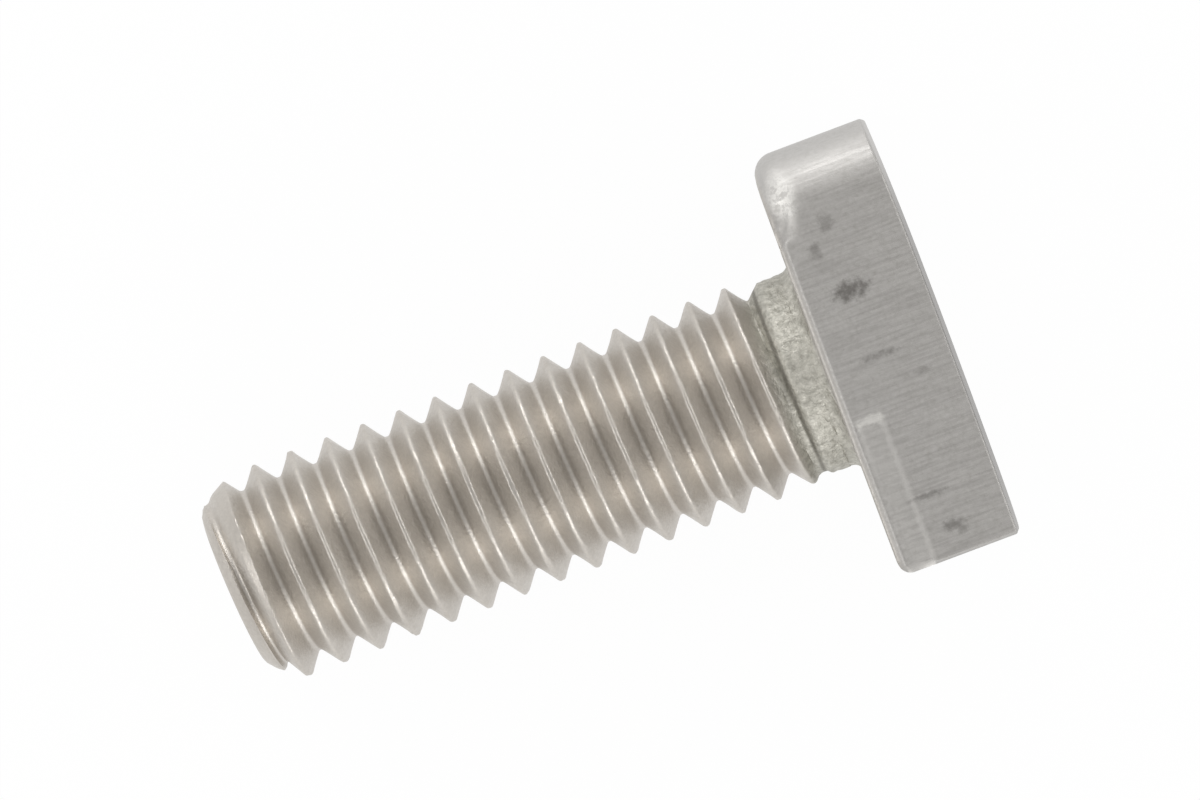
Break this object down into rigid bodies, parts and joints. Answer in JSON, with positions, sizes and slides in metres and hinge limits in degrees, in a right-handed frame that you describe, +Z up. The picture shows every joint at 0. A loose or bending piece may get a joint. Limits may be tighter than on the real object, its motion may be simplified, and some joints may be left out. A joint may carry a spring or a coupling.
{
  "type": "t slot bolt",
  "caption": "Hammer head bolt that drops into a T slot, turns to lock under the slot's lips, and takes a nut on its threaded shank.",
  "frame": {"origin": "middle of the box around the bolt, on the surface it rests on", "axes": "+X along the shank from the threaded tip to the head's top, +Y along the head's length, +Z up, square to the long side of the head that the bolt lies on"},
  "size_m": [0.0278, 0.0162, 0.008],
  "materials": {
    "steel": "as forged and rolled, bare"
  },
  "bodies": {
    "root": {"bolt": "steel"}
  },
  "joints": []
}
